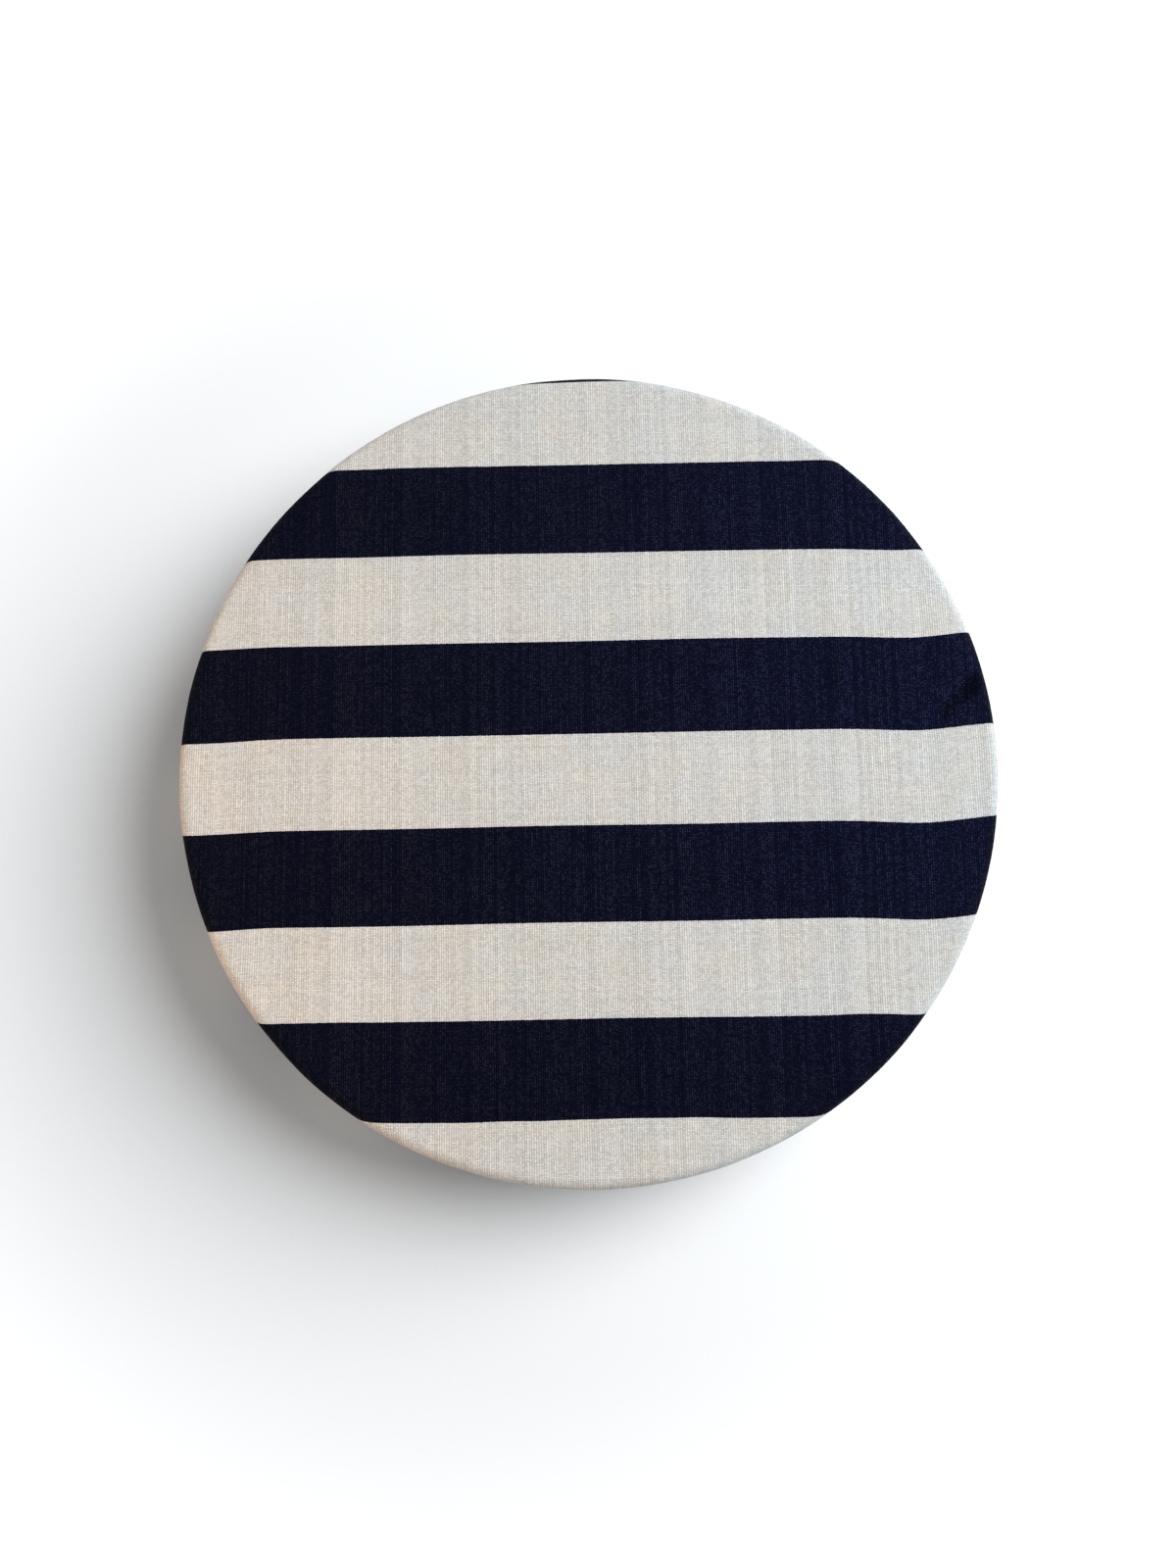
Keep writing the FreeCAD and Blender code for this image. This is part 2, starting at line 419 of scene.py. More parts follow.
def pleat_shape(settings, around, height, radius):
    """How far each pleat stands out and leans over, for every point of the cloth."""
    picks = np.random.default_rng(11)
    turns = around / FULL_TURN * settings.pleats
    index = np.floor(turns).astype(int) % settings.pleats
    phase = turns - np.floor(turns)
    crest = picks.uniform(0.42, 0.58, settings.pleats)[index]
    strength = picks.uniform(0.45, 1.0, settings.pleats)[index]
    reach = picks.uniform(18.0, 40.0, settings.pleats)[index] * MM
    width = picks.uniform(0.16, 0.30, settings.pleats)[index]
    grain = 0.45 + 0.55 * np.cos(2 * around) ** 2
    fade = np.clip(1 - (height - settings.hem_height) / reach, 0, 1) ** 1.8
    soft = smooth_step(crest - 1.5 * width, crest, phase)
    soft = soft * (1 - smooth_step(crest, crest + 1.2 * width, phase))
    sharp = smooth_step(crest - width, crest, phase)
    sharp = sharp * (1 - smooth_step(crest + 0.05, crest + 0.05 + 0.45 * width, phase))
    pressed = 1 - smooth_step(settings.hem_height, settings.hem_height + 7 * MM, height)
    bump = soft * (1 - pressed) + sharp * pressed
    under = radius < SEAT_RADIUS - 0.7 * settings.bottom_edge
    covered = smooth_step(-DUST_RADIUS - 5 * MM, -DUST_RADIUS, -radius)
    flat = np.where(under, 1 - DUST_PRESS * covered, 1.0)
    stand = settings.pleat_depth * strength * grain * fade * bump * flat
    side = np.where(np.sin(around) >= 0, 1.0, -1.0)
    lean = settings.pleat_lean * strength * grain * pressed * sharp * side
    return stand, lean


def pull_marks(x, y):
    """The shallow press mark near the right edge and its trail, as a drop of the top in metres."""
    along, across = turned(x, y, MARK_PLACE, math.radians(MARK_TURN))
    mark = np.exp(-((along / (6.5 * MM)) ** 2) - (across / (3.2 * MM)) ** 2)
    along, across = along - TRAIL_PLACE[0], across - TRAIL_PLACE[1]
    trail = np.exp(-((along / (9 * MM)) ** 2) - (across / (4 * MM)) ** 2)
    return MARK_DEPTH * mark + TRAIL_DEPTH * trail


def stripe_bends(across):
    """How far the stripes are drawn aside at both ends, where the cloth was pulled over the edge."""
    left_end = 1.1 * MM * smooth_step(0.128, 0.166, -across)
    right_end = 1.3 * MM * smooth_step(0.105, 0.145, across)
    right_return = -3.2 * MM * smooth_step(0.136, 0.184, across)
    return left_end + right_end + right_return


def cover_points(settings, runs, around):
    """Every point of the cover's outer face, and the point of the flat cloth that lies there."""
    run, turn = np.meshgrid(runs, around, indexing="ij")
    rim, side_start, side_end, _ = stretch_ends(settings)
    radius, height, out, up = meridian(settings, run)
    stand, lean = pleat_shape(settings, turn, height, radius)
    on_side = smooth_step(side_start, side_start + 12 * MM, run)
    on_side = on_side * (1 - smooth_step(side_end - 8 * MM, side_end, run))
    over_board = smooth_step(board_high.z + 1.5 * MM, board_high.z + 6 * MM, height) * on_side
    slack = SIDE_WAVE * ripple(5, turn, (5, 9, 14, 23)) * on_side
    stand = stand - BOARD_STEP * over_board + slack
    on_edge = smooth_step(rim - 12 * MM, rim, run) * (1 - smooth_step(side_start, side_end, run))
    stand = stand + EDGE_WAVE * ripple(8, turn, (7, 11, 17, 25, 36)) * on_edge
    radius = radius + out * stand
    height = height + up * stand
    turn_here = turn + lean / np.maximum(radius, 20 * MM)
    x, y = radius * np.cos(turn_here), radius * np.sin(turn_here)
    top = 1 - smooth_step(rim, side_start, run)
    height = height - pull_marks(x, y) * top
    height = height + TOP_WAVE * drift(21, x, y, 55 * MM) * top
    near_edge = smooth_step(EDGE_PULL_START, side_start, run)
    pulled = run - PULL_OUT * ripple(3, turn, (5, 8, 13, 22, 36)) * near_edge
    shifted = turn + PULL_ASIDE * ripple(4, turn, (6, 10, 15, 21)) * near_edge / SEAT_RADIUS
    u, v = pulled * np.cos(shifted), pulled * np.sin(shifted)
    v = v + stripe_bends(u)
    v = v + STRIPE_DRIFT * drift(31, u, v, 70 * MM)
    u = u + THREAD_DRIFT * drift(32, u, v, 80 * MM)
    points = np.stack([x, y, height], axis=-1)
    return points, np.stack([u, v], axis=-1)


def simulate(settings, start, held):
    """How far rings of cloth move under pressure from inside; held gives each ring's hold."""
    copy = object_from("settling_cloth", start.reshape(-1, 3), ring_faces(len(start), SETTLE_COLUMNS))
    pins = copy.vertex_groups.new(name="held")
    for ring, weight in enumerate(held):
        first_point = ring * SETTLE_COLUMNS
        pins.add(range(first_point, first_point + SETTLE_COLUMNS), float(weight), "REPLACE")
    cloth = copy.modifiers.new("Cloth", "CLOTH")
    cloth.settings.quality = 6
    cloth.settings.vertex_group_mass = pins.name
    cloth.settings.effector_weights.gravity = 0.0
    cloth.settings.use_pressure = True
    cloth.settings.uniform_pressure_force = settings.pressure
    cloth.settings.shrink_min = -settings.spare
    cloth.settings.bending_stiffness = 0.6
    cloth.settings.tension_damping = 12.0
    cloth.point_cache.frame_start = 1
    cloth.point_cache.frame_end = SETTLE_FRAMES
    scene = bpy.context.scene
    for number in range(1, SETTLE_FRAMES + 1):
        scene.frame_set(number)
    graph = bpy.context.evaluated_depsgraph_get()
    settled = copy.evaluated_get(graph).data
    moved = np.zeros(len(settled.vertices) * 3)
    settled.vertices.foreach_get("co", moved)
    bpy.data.objects.remove(copy)
    scene.frame_set(1)
    return moved.reshape(start.shape) - start


def settle(settings, runs, points):
    """How far the cloth of the side moves as it settles over the padding, for every point of it.

    A coarse copy of the side is simulated with spare cloth, held at the rim of the top and at
    the hem and pushed out by the padding. What it moves is capped and spread over the fine mesh.
    """
    every = settings.pleats * COLUMNS_PER_PLEAT // SETTLE_COLUMNS
    rim, side_start, side_end, hem_start = stretch_ends(settings)
    first = int(np.searchsorted(runs, rim))
    kept = np.append(np.arange(first, len(runs) - 1, 2), len(runs) - 1)
    held = 1 - smooth_step(side_start, side_start + 9 * MM, runs[kept])
    held = np.maximum(held, smooth_step(side_end, hem_start, runs[kept]))
    moved = simulate(settings, points[kept][:, ::every], held)
    away = np.linalg.norm(moved, axis=-1, keepdims=True)
    moved = moved * settings.travel * np.tanh(away / settings.travel) / np.maximum(away, 1e-9)
    wide = np.fft.irfft(np.fft.rfft(moved, axis=1), n=points.shape[1], axis=1) * every
    full = np.zeros_like(points)
    for ring in range(first, len(runs)):
        after = min(int(np.searchsorted(kept, ring)), len(kept) - 1)
        before = max(after - 1, 0)
        span = max(runs[kept[after]] - runs[kept[before]], 1e-9)
        share_on = np.clip((runs[ring] - runs[kept[before]]) / span, 0, 1)
        full[ring] = wide[before] * (1 - share_on) + wide[after] * share_on
    return full


def make_cover(settings):
    """The cover as one sheet of polar rings closed at the middle of the top."""
    columns = settings.pleats * COLUMNS_PER_PLEAT
    runs = ring_runs(settings)
    points, flat = cover_points(settings, runs, bearings(columns))
    points = points + settle(settings, runs, points)
    middle = points[0].mean(axis=0)
    vertices = np.concatenate([[middle], points.reshape(-1, 3)])
    cloth = np.concatenate([[flat[0].mean(axis=0)], flat.reshape(-1, 2)])
    faces = [(0, 1 + c, 1 + (c + 1) % columns) for c in range(columns)]
    faces += ring_faces(len(runs), columns, first=1)
    return object_from("canvas_cover_cloth", vertices, faces, cloth)


# ---------------------------------------------------------------- padding shapes


def turned_solid(name, profile, columns, shift):
    """A closed turned solid from an open profile of (radius, height) points, axis to axis.

    shift(points) moves the points, given as an array of rings, before the mesh is made.
    """
    around = bearings(columns)
    radius, height = np.array(profile).T
    inner = slice(1, len(profile) - 1)
    points = np.stack(
        [
            np.outer(radius[inner], np.cos(around)),
            np.outer(radius[inner], np.sin(around)),
            np.repeat(height[inner, None], columns, axis=1),
        ],
        axis=-1,
    )
    points = shift(points)
    rings = len(points)
    first_pole = [0.0, 0.0, points[0, :, 2].mean()]
    last_pole = [0.0, 0.0, points[-1, :, 2].mean()]
    vertices = np.concatenate([[first_pole], points.reshape(-1, 3), [last_pole]])
    last = len(vertices) - 1
    foot = 1 + (rings - 1) * columns
    faces = [(0, 1 + c, 1 + (c + 1) % columns) for c in range(columns)]
    faces += ring_faces(rings, columns, first=1)
    faces += [(last, foot + (c + 1) % columns, foot + c) for c in range(columns)]
    made = object_from(name, vertices, faces)
    outward(made)
    return made


def line_points(start, end, steps):
    """Points along a straight stretch of a profile, without its end."""
    return [tuple(point) for point in np.linspace(start, end, steps, endpoint=False)]


def arc_points(centre, radius, first, last, steps):
    """Points along an arc of a profile, from one angle to another in degrees, without its end."""
    turns = np.radians(np.linspace(first, last, steps, endpoint=False))
    return list(zip(centre[0] + radius * np.cos(turns), centre[1] + radius * np.sin(turns)))


def make_wadding(settings, canvas):
    """The wadding as a closed shell: its outer face follows the canvas, its inner one the foam."""
    play = 0.25 * MM
    outer = SEAT_RADIUS - canvas.thickness - WADDING_PLAY
    top = SEAT_TOP - canvas.crown - canvas.thickness - play
    core = CORE_RADIUS + 0.5 * play
    core_top = foam_high.z + 0.5 * play
    edge = canvas.top_edge - canvas.thickness
    foam_edge = settings.foam_edge
    profile = line_points((0.0, top), (outer - edge, top), 34)
    profile += arc_points((outer - edge, top - edge), edge, 90, 0, 8)
    profile += line_points((outer, top - edge), (outer, wadding_low.z + play), 22)
    profile += line_points((outer, wadding_low.z), (core, wadding_low.z), 3)
    profile += line_points((core, wadding_low.z), (core, core_top - foam_edge), 14)
    profile += arc_points((core - foam_edge, core_top - foam_edge), foam_edge, 0, 90, 6)
    profile += line_points((core - foam_edge, core_top), (0.0, core_top), 12) + [(0.0, core_top)]

    def uneven(points):
        x, y, z = np.moveaxis(points, -1, 0)
        radius, turn = np.hypot(x, y), np.arctan2(y, x)
        crown = canvas.crown * np.clip(1 - (radius / outer) ** 2, 0, 1)
        upper = z > top - edge
        on_face = smooth_step(core + 0.3 * play, outer - play, radius) * (z < top - edge)
        lump = 0.5 + 0.5 * drift(61, SEAT_RADIUS * turn, 2 * z + radius, 16 * MM)
        lump = settings.lumps * np.clip(lump, 0, 1)
        z = z + np.where(upper & (z > core_top + play), crown - lump - pull_marks(x, y), 0.0)
        smaller = 1 - lump * on_face / np.maximum(radius, play)
        return np.stack([x * smaller, y * smaller, z], axis=-1)

    return turned_solid("wadding_layer", profile, 288, uneven)


def make_foam(settings):
    """The foam disc, its cut side a little wavy and its underside dented by the nuts' flanges."""
    gap = 0.12 * MM
    radius, edge = CORE_RADIUS - gap, settings.foam_edge
    top, bottom = foam_high.z - gap, foam_low.z + gap
    profile = line_points((0.0, top), (radius - edge, top), 24)
    profile += arc_points((radius - edge, top - edge), edge, 90, 0, 6)
    profile += line_points((radius, top - edge), (radius, bottom), 16)
    profile += line_points((radius, bottom), (0.0, bottom), 110) + [(0.0, bottom)]

    def cut(points):
        x, y, z = np.moveaxis(points, -1, 0)
        out, turn = np.hypot(x, y), np.arctan2(y, x)
        side = smooth_step(radius - 2 * edge, radius, out)
        wave = settings.lumps * (0.5 + 0.5 * ripple(71, turn, (9, 16, 27)) * np.cos(z / (9 * MM)))
        smaller = 1 - wave * side / np.maximum(out, gap)
        low = z < bottom + gap
        for centre in NUT_CENTRES:
            off = np.hypot(x - centre.x, y - centre.y)
            dent = 1 - smooth_step(NUT_REACH, NUT_REACH + 2.5 * MM, off)
            z = z + np.where(low, (nut_high.z + gap - bottom) * dent, 0.0)
        return np.stack([x * smaller, y * smaller, z], axis=-1)

    return turned_solid("foam_block", profile, 360, cut)


# ---------------------------------------------------------------- underside shapes


def islands(node):
    """The separate solids of a CAD node, each as an array of its points."""
    shell = bmesh.new()
    shell.from_mesh(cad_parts[node].data)
    bmesh.ops.remove_doubles(shell, verts=shell.verts, dist=0.001 * MM)
    left = set(shell.verts)
    found = []
    for seed in list(shell.verts):
        if seed not in left:
            continue
        left.discard(seed)
        group, to_visit = [seed], [seed]
        while to_visit:
            here = to_visit.pop()
            for link in here.link_edges:
                there = link.other_vert(here)
                if there in left:
                    left.discard(there)
                    group.append(there)
                    to_visit.append(there)
        found.append(np.array([point.co for point in group]))
    shell.free()
    return found


def staple_places(node):
    """Where each staple of a CAD node stands: the middle of its crown's underside and its facing."""
    places = []
    for points in islands(node):
        low, high = points.min(axis=0), points.max(axis=0)
        middle = (low + high) / 2
        flat = points[:, :2] - middle[:2]
        spread = np.linalg.eigh(flat.T @ flat)[1][:, -1]
        places.append((middle[0], middle[1], low[2], math.atan2(spread[1], spread[0])))
    return sorted(places, key=lambda place: math.atan2(place[1], place[0]))


def dust_height(settings, x, y, staples):
    """The height of the dust cover's middle surface: taut, lifted over each staple's crown."""
    radius, turn = np.hypot(x, y), np.arctan2(y, x)
    half = settings.thickness / 2
    rise = DUST_RISE * (1 - smooth_step(0.35 * DUST_RADIUS, 0.93 * DUST_RADIUS, radius))
    height = half + DUST_GAP + rise
    over = settings.wire_height + half + STAPLE_GAP
    for px, py, low, facing in staples:
        along, across = turned(x, y, (px, py), facing)
        past = np.maximum(np.abs(along) - settings.crown / 2, 0.0)
        off = np.hypot(past, np.maximum(np.abs(across) - settings.wire_width / 2, 0.0))
        lift = 1 - smooth_step(0.25 * MM, LIFT_REACH, off)
        height = np.maximum(height, height * (1 - lift) + (low + over) * lift)
        inward = np.clip((math.hypot(px, py) - radius) / CREASE_LENGTH, 0, 1)
        aside = np.angle(np.exp(1j * (turn - math.atan2(py, px)))) * radius
        crease = np.exp(-((aside / (1.6 * MM + 5 * MM * inward)) ** 2))
        height = height + CREASE_DEPTH * crease * inward * (1 - inward) * 4
    return height


def ring_spots(centre, radius, number, offset=0.0):
    """Evenly spaced places on a circle, turned on by a part of a space."""
    turns = [(index + offset) / number * FULL_TURN for index in range(number)]
    return [(centre[0] + radius * math.cos(a), centre[1] + radius * math.sin(a)) for a in turns]


def in_nut_hole(x, y, reach):
    """Whether a place is within reach of a T-nut's middle."""
    return any(math.hypot(x - centre.x, y - centre.y) < reach for centre in NUT_CENTRES)


def sheet_spots(settings):
    """Places for the dust cover's points, and the edges that its rim and its holes need."""
    spots = ring_spots((0.0, 0.0), DUST_RADIUS, DUST_COLUMNS)
    edges = [(i, (i + 1) % DUST_COLUMNS) for i in range(DUST_COLUMNS)]
    for centre in NUT_CENTRES:
        first = len(spots)
        spots += ring_spots(centre, settings.hole, HOLE_COLUMNS)
        edges += [(first + i, first + (i + 1) % HOLE_COLUMNS) for i in range(HOLE_COLUMNS)]
    fine_gap, coarse_gap = 1.1 * MM, 3.6 * MM
    spacing = INNER_SPACING * FULL_TURN * DUST_RADIUS / DUST_COLUMNS
    radius = DUST_RADIUS - fine_gap
    while radius > fine_gap:
        fine = radius > DUST_RADIUS - 14 * MM
        number = DUST_COLUMNS * 2 if fine else max(6, round(FULL_TURN * radius / spacing))
        offset = 0.5 * (round(radius / fine_gap) % 2)
        ring = ring_spots((0.0, 0.0), radius, number, offset)
        spots += [spot for spot in ring if not in_nut_hole(*spot, settings.hole + 0.7 * MM)]
        radius -= fine_gap if fine else coarse_gap
    return spots, edges


def nearest(points, spot):
    """The index of the point that lies nearest to a place."""
    off = np.hypot(points[:, 0] - spot[0], points[:, 1] - spot[1])
    return int(np.argmin(off))


def make_dust_cover(settings):
    """The non-woven disc with its holes and its folded edge, as one sheet with no thickness yet."""
    staples = staple_places("dust_cover_staples")
    rim = bearings(DUST_COLUMNS)
    spots, edges = sheet_spots(settings)
    made = geometry.delaunay_2d_cdt([Vector(spot) for spot in spots], edges, [], 0, 1e-7)
    flat = np.array([tuple(point) for point in made[0]])
    faces = []
    for face in made[2]:
        x, y = flat[list(face)].mean(axis=0)
        if not in_nut_hole(x, y, settings.hole - 0.05 * MM):
            faces.append(tuple(reversed(face)))
    height = dust_height(settings, flat[:, 0], flat[:, 1], staples)
    vertices = [np.column_stack([flat, height])]
    cloth = [flat]
    layer_gap = settings.thickness + 0.05 * MM
    folded = settings.fold * (1 + 0.10 * ripple(83, rim, (7, 13, 22)))
    before = [nearest(flat, spot) for spot in spots[:DUST_COLUMNS]]
    total = len(flat)
    for part in FOLD_STEPS:
        back = DUST_RADIUS - folded * part
        x, y = back * np.cos(rim), back * np.sin(rim)
        turn_up = layer_gap * min(1.0, math.sqrt(part / FOLD_STEPS[1]))
        z = dust_height(settings, x, y, staples) + turn_up
        vertices.append(np.column_stack([x, y, z]))
        out = DUST_RADIUS + folded * part
        cloth.append(np.column_stack([out * np.cos(rim), out * np.sin(rim)]))
        now = list(range(total, total + DUST_COLUMNS))
        for i in range(DUST_COLUMNS):
            j = (i + 1) % DUST_COLUMNS
            faces.append((before[j], now[j], now[i], before[i]))
        before = now
        total += DUST_COLUMNS
    return object_from("dust_cover_cloth", np.concatenate(vertices), faces, np.concatenate(cloth))


# ---------------------------------------------------------------- node helpers


class Signal:
    """What one socket of a node tree gives out; arithmetic on it adds nodes to the tree."""

    def __init__(self, nodes, socket):
        self.nodes = nodes
        self.socket = socket

    def math(self, operation, second=0.0, third=0.0):
        inputs = {0: self, 1: second, 2: third}
        return self.nodes.node("ShaderNodeMath", inputs, operation=operation)

    def __add__(self, other):
        return self.math("ADD", other)

    def __sub__(self, other):
        return self.math("SUBTRACT", other)

    def __rsub__(self, other):
        return self.math("MULTIPLY_ADD", -1.0, other)

    def __mul__(self, other):
        return self.math("MULTIPLY", other)

    def __truediv__(self, other):
        return self.math("DIVIDE", other)

    def __pow__(self, other):
        return self.math("POWER", other)

    def clamped(self):
        """Held between 0 and 1."""
        return self.nodes.node("ShaderNodeClamp", {"Value": self})

    def ramp(self, low, high, start=0.0, end=1.0):
        """A soft climb from start to end while this goes from low to high."""
        inputs = {"Value": self, "From Min": low, "From Max": high, "To Min": start, "To Max": end}
        return self.nodes.node("ShaderNodeMapRange", inputs, interpolation_type="SMOOTHSTEP")

    def vector(self, operation, other=(0.0, 0.0, 0.0), output=0):
        return self.nodes.node("ShaderNodeVectorMath", {0: self, 1: other}, output, operation=operation)

    def size(self):
        """The length of a vector."""
        return self.vector("LENGTH", output=1)

    def axes(self):
        """The three numbers of a vector."""
        split = self.nodes.tree.nodes.new("ShaderNodeSeparateXYZ")
        self.nodes.put(split.inputs[0], self)
        return [Signal(self.nodes, socket) for socket in split.outputs]


class Nodes:
    """Adds nodes to one node tree; any input may be a plain value or a signal."""

    def __init__(self, tree):
        self.tree = tree

    def node(self, kind, inputs=(), output=0, **options):
        made = self.tree.nodes.new(kind)
        for name, value in options.items():
            setattr(made, name, value)
        for key, value in dict(inputs).items():
            self.put(made.inputs[key], value)
        return Signal(self, made.outputs[output])

    def put(self, socket, value):
        if isinstance(value, Signal):
            self.tree.links.new(value.socket, socket)
        elif socket.type == "RGBA":
            socket.default_value = (*value, 1.0)
        else:
            socket.default_value = value

    def vector(self, x=0.0, y=0.0, z=0.0):
        return self.node("ShaderNodeCombineXYZ", {0: x, 1: y, 2: z})

    def noise(self, place, scale=1.0, detail=2.0, roughness=0.5):
        inputs = {"Vector": place, "Scale": scale, "Detail": detail, "Roughness": roughness}
        return self.node("ShaderNodeTexNoise", inputs)

    def cells(self, place, scale, output="Distance"):
        return self.node("ShaderNodeTexVoronoi", {"Vector": place, "Scale": scale}, output)

    def random(self, x, y, z=0.0):
        """An even random number from 0 to 1 for each place."""
        inputs = {"Vector": self.vector(x, y, z)}
        return self.node("ShaderNodeTexWhiteNoise", inputs, noise_dimensions="3D")

    def blend(self, factor, first, second):
        """From the first colour to the second as the factor goes from 0 to 1."""
        made = self.tree.nodes.new("ShaderNodeMix")
        made.data_type = "RGBA"
        for index, value in ((0, factor), (6, first), (7, second)):
            self.put(made.inputs[index], value)
        return Signal(self, made.outputs[2])

    def tone(self, colour, value):
        """The colour made lighter or darker by a value."""
        return self.node("ShaderNodeVectorMath", {0: colour, "Scale": value}, operation="SCALE")

    def group(self, name, inputs):
        """A shared node group, built the first time it is asked for; gives its outputs by name."""
        made = self.tree.nodes.new("ShaderNodeGroup")
        made.node_tree = bpy.data.node_groups.get(name) or GROUP_MAKERS[name](name)
        for key, value in inputs.items():
            self.put(made.inputs[key], value)
        return {socket.name: Signal(self, socket) for socket in made.outputs}


class Group(Nodes):
    """A node group under construction, with named inputs and outputs."""

    def __init__(self, name, inputs, outputs, kind="ShaderNodeTree"):
        super().__init__(bpy.data.node_groups.new(name, kind))
        self.identifiers = {}
        for side, sockets in (("INPUT", inputs), ("OUTPUT", outputs)):
            for label, kind_of in sockets.items():
                kind_of = "NodeSocket" + kind_of
                made = self.tree.interface.new_socket(label, in_out=side, socket_type=kind_of)
                self.identifiers[label] = made.identifier
        entry = self.tree.nodes.new("NodeGroupInput")
        self.given = {socket.name: Signal(self, socket) for socket in entry.outputs}
        self.results = self.tree.nodes.new("NodeGroupOutput").inputs

    def give(self, **values):
        """Joins the outputs, named here in small letters with _ for a space."""
        for name, value in values.items():
            self.put(self.results[name.replace("_", " ").capitalize()], value)


# ---------------------------------------------------------------- staples by geometry nodes


def staple_group():
    """Wire staples on points: a four-point line with filleted corners, swept with a flat wire."""
    sizes = dict.fromkeys(["Crown", "Leg", "Wire width", "Wire height", "Bend"], "Float")
    inputs = {"Places": "Geometry", **sizes, "Metal": "Material"}
    group = Group("Wire staples", inputs, {"Staples": "Geometry"}, "GeometryNodeTree")
    given, node = group.given, group.node
    wire_height, index = given["Wire height"], node("GeometryNodeInputIndex")
    line = node("GeometryNodeCurvePrimitiveLine", {"End": (1.0, 0.0, 0.0)})
    line = node("GeometryNodeResampleCurve", {"Curve": line, "Count": 4})
    side = (index.math("GREATER_THAN", 1.5) - 0.5) * (given["Crown"] - wire_height)
    at_end = (index - 1.5).math("ABSOLUTE").math("GREATER_THAN", 1.0)
    rise = at_end * (given["Leg"] - wire_height * 0.5) + wire_height * 0.5
    place = group.vector(x=side, z=rise)
    path = node("GeometryNodeSetPosition", {"Geometry": line, "Position": place})
    inputs = {"Curve": path, "Count": 5, "Radius": given["Bend"]}
    path = node("GeometryNodeFilletCurve", inputs, mode="POLY")
    wire = node(
        "GeometryNodeCurvePrimitiveQuadrilateral",
        {"Width": wire_height, "Height": given["Wire width"]},
        mode="RECTANGLE",
    )
    corner = wire_height * 0.22
    wire = node("GeometryNodeFilletCurve", {"Curve": wire, "Count": 2, "Radius": corner}, mode="POLY")
    staple = node("GeometryNodeCurveToMesh", {"Curve": path, "Profile Curve": wire, "Fill Caps": True})
    facing = node("GeometryNodeInputNamedAttribute", {"Name": "facing"}, data_type="FLOAT")
    turn = group.vector(z=facing)
    inputs = {"Points": given["Places"], "Instance": staple, "Rotation": turn}
    made = node("GeometryNodeInstanceOnPoints", inputs)
    made = node("GeometryNodeRealizeInstances", {"Geometry": made})
    made = node("GeometryNodeSetMaterial", {"Geometry": made, "Material": given["Metal"]})
    group.give(staples=made)
    return group


def make_staples(settings, group, node, metal):
    """All the staples of one CAD node, as one plain mesh."""
    places = staple_places(node)
    piece = object_from(node + "_wire", [place[:3] for place in places], [])
    facing = piece.data.attributes.new("facing", "FLOAT", "POINT")
    facing.data.foreach_set("value", [place[3] for place in places])
    values = {
        "Crown": settings.crown,
        "Leg": settings.leg,
        "Wire width": settings.wire_width,
        "Wire height": settings.wire_height,
        "Bend": settings.bend,
        "Metal": metal,
    }
    modifier = piece.modifiers.new("Wire staples", "NODES")
    modifier.node_group = group.tree
    for name, value in values.items():
        modifier[group.identifiers[name]] = value
    apply_modifiers(piece)
    outward(piece)
    return piece


# ---------------------------------------------------------------- shared effects


def weave_group(name):
    """Plain weave: crossing round threads, each with its own shade and thick and thin places."""
    outputs = ["Height", "Ridge", "Across on top", "Across shade", "Along shade", "Crossing shade"]
    group = Group(
        name,
        {"Cloth": "Vector", "Across pitch": "Float", "Along pitch": "Float", "Wander": "Float"},
        dict.fromkeys(outputs, "Float"),
    )
    cloth = group.given["Cloth"]
    u, v, _ = cloth.axes()
    wander = group.given["Wander"]
    across = (group.noise(cloth, 45.0) - 0.5) * wander + u / group.given["Across pitch"]
    other_place = cloth.vector("ADD", (3.0, 7.0, 0.0))
    along = (group.noise(other_place, 45.0) - 0.5) * wander + v / group.given["Along pitch"]
    cell_u, cell_v = across.math("FLOOR"), along.math("FLOOR")
    sign = (cell_u + cell_v).math("PINGPONG", 1.0) * -2.0 + 1.0
    arch_u = (across.math("FRACT") * math.pi).math("SINE")
    arch_v = (along.math("FRACT") * math.pi).math("SINE")
    high_u = arch_u**0.6 * (sign * arch_v * 0.4 + 0.6)
    high_v = arch_v**0.6 * (sign * arch_u * -0.4 + 0.6)
    run_u = group.vector(cell_u * 0.73, v * 70.0)
    run_v = group.vector(u * 160.0, cell_v * 0.73, 5.0)
    slub_u = group.noise(run_u, 1.0, 3.0, 0.65) - 0.5
    slub_v = group.noise(run_v, 1.0, 3.0, 0.65) - 0.5
    group.give(
        height=high_u.math("MAXIMUM", high_v),
        ridge=arch_u,
        across_on_top=high_u.math("GREATER_THAN", high_v),
        across_shade=slub_u * 0.8 + (group.random(cell_u, 3.0) - 0.5),
        along_shade=slub_v * 1.1 + (group.random(cell_v, 11.0) - 0.5),
        crossing_shade=group.random(cell_u, cell_v, 5.0),
    )
    return group.tree


def stripe_group(name):
    """Broad stripes of equal width across the cloth, and a thin mask along their borders."""
    inputs = {"Cloth": "Vector", **dict.fromkeys(["Width", "Dark share", "Edge", "Ragged"], "Float")}
    group = Group(name, inputs, {"Dark": "Float", "Border": "Float"})
    given = group.given
    fray = (group.noise(given["Cloth"], 900.0, 1.0) - 0.5) * given["Ragged"]
    back = fray + (given["Edge"] - given["Cloth"].axes()[1])
    within = (back / given["Width"] * 0.5).math("FRACT")
    half_dark = given["Dark share"] * 0.5
    off = ((within - half_dark).math("PINGPONG", 0.5) - half_dark).math("ABSOLUTE")
    dark = within.math("LESS_THAN", given["Dark share"])
    group.give(dark=dark, border=off.ramp(0.0, 0.010, 1.0, 0.0))
    return group.tree


